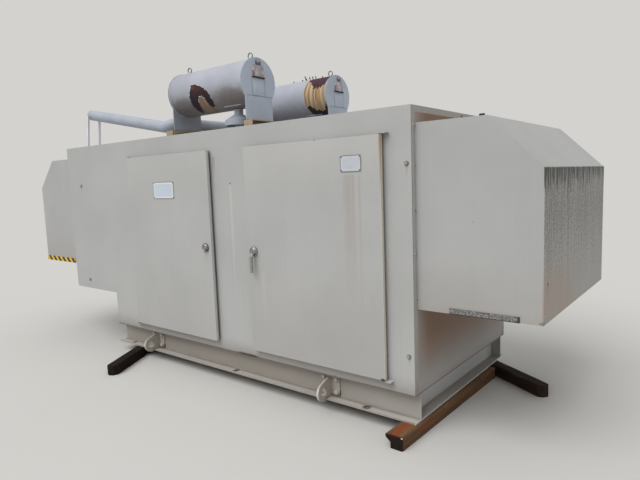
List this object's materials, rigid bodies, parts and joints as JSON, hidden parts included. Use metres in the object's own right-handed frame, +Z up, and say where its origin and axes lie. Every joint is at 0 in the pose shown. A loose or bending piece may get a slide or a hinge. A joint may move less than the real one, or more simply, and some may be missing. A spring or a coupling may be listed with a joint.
{
  "type": "generator set",
  "caption": "Generator set in a closed weather housing on a channel skid, with end air hoods, hinged doors and roof silencers, lying on timber bearers.",
  "frame": {"origin": "on the ground under the middle of the housing, which is the middle of the whole footprint", "axes": "+X to the right along the housing as seen from its door side, +Y from the doors to the back, +Z up"},
  "size_m": [5.82, 2.6506, 2.7639],
  "materials": {
    "housing_paint": "weathered satin paint",
    "skid_paint": "weathered satin paint",
    "silencer_paint": "weathered heat-resisting paint",
    "dark_timber": "tarred, rough sawn",
    "brown_timber": "rough sawn, worn",
    "louvre_zinc": "dull zinc",
    "hazard_rubber": "striped yellow and black",
    "grey_rubber": "worn speckled grey",
    "latch_chrome": "dull plated",
    "plate_white": "enamelled plate",
    "plate_silver": "printed aluminium plate",
    "cream_paint": "primer paint",
    "eye_steel": "rusted"
  },
  "bodies": {
    "housing": {"back_doors": "housing_paint", "back_wall": "housing_paint", "bearer_right": "brown_timber", "bearer_right_back": "dark_timber", "bearers_left": "dark_timber", "cross_rails": "cream_paint", "door_pivots": "housing_paint", "exhaust_inlets": "silencer_paint", "floors": "housing_paint", "front_wall_header": "housing_paint", "front_wall_left": "housing_paint", "front_wall_post": "housing_paint", "front_wall_right": "housing_paint", "front_wall_sill": "housing_paint", "hood_strips": "housing_paint", "left_end_wall": "housing_paint", "left_hood_cheeks": "housing_paint", "left_hood_cowl": "housing_paint", "left_hood_guard": "hazard_rubber", "left_louvre": "louvre_zinc", "lifting_eyes": "eye_steel", "lifting_lugs": "skid_paint", "lower_left_wall": "housing_paint", "pipe_posts": "silencer_paint", "right_end_wall": "housing_paint", "right_hood_cheeks": "housing_paint", "right_hood_cowl": "housing_paint", "right_hood_guard": "grey_rubber", "right_louvre": "louvre_zinc", "roof": "housing_paint", "silencer_back_drum": "silencer_paint", "silencer_back_plates": "silencer_paint", "silencer_front_drum": "silencer_paint", "silencer_front_plates": "silencer_paint", "skid_back": "skid_paint", "skid_cross_members": "skid_paint", "skid_front": "skid_paint", "tail_pipe": "silencer_paint"},
    "left_door": {"left_door": "housing_paint", "left_latch": "latch_chrome", "sign_plate": "plate_white"},
    "right_door": {"right_door": "housing_paint", "right_latch": "latch_chrome", "rating_plate": "plate_silver"},
    "lever": {"latch_lever": "latch_chrome"}
  },
  "joints": [
    {"name": "left_door_hinge", "type": "hinge", "parent": "housing", "child": "left_door", "pos_m": [-0.894, -0.851, 1.169], "axis": [0, 0, -1], "range_deg": [0, 120]},
    {"name": "right_door_hinge", "type": "hinge", "parent": "housing", "child": "right_door", "pos_m": [1.926, -0.851, 1.17], "axis": [0, 0, 1], "range_deg": [0, 120]},
    {"name": "latch_lever_turn", "type": "hinge", "parent": "right_door", "child": "lever", "pos_m": [0.775, -0.879, 1.166], "axis": [0, -1, 0], "range_deg": [0, 90]}
  ]
}
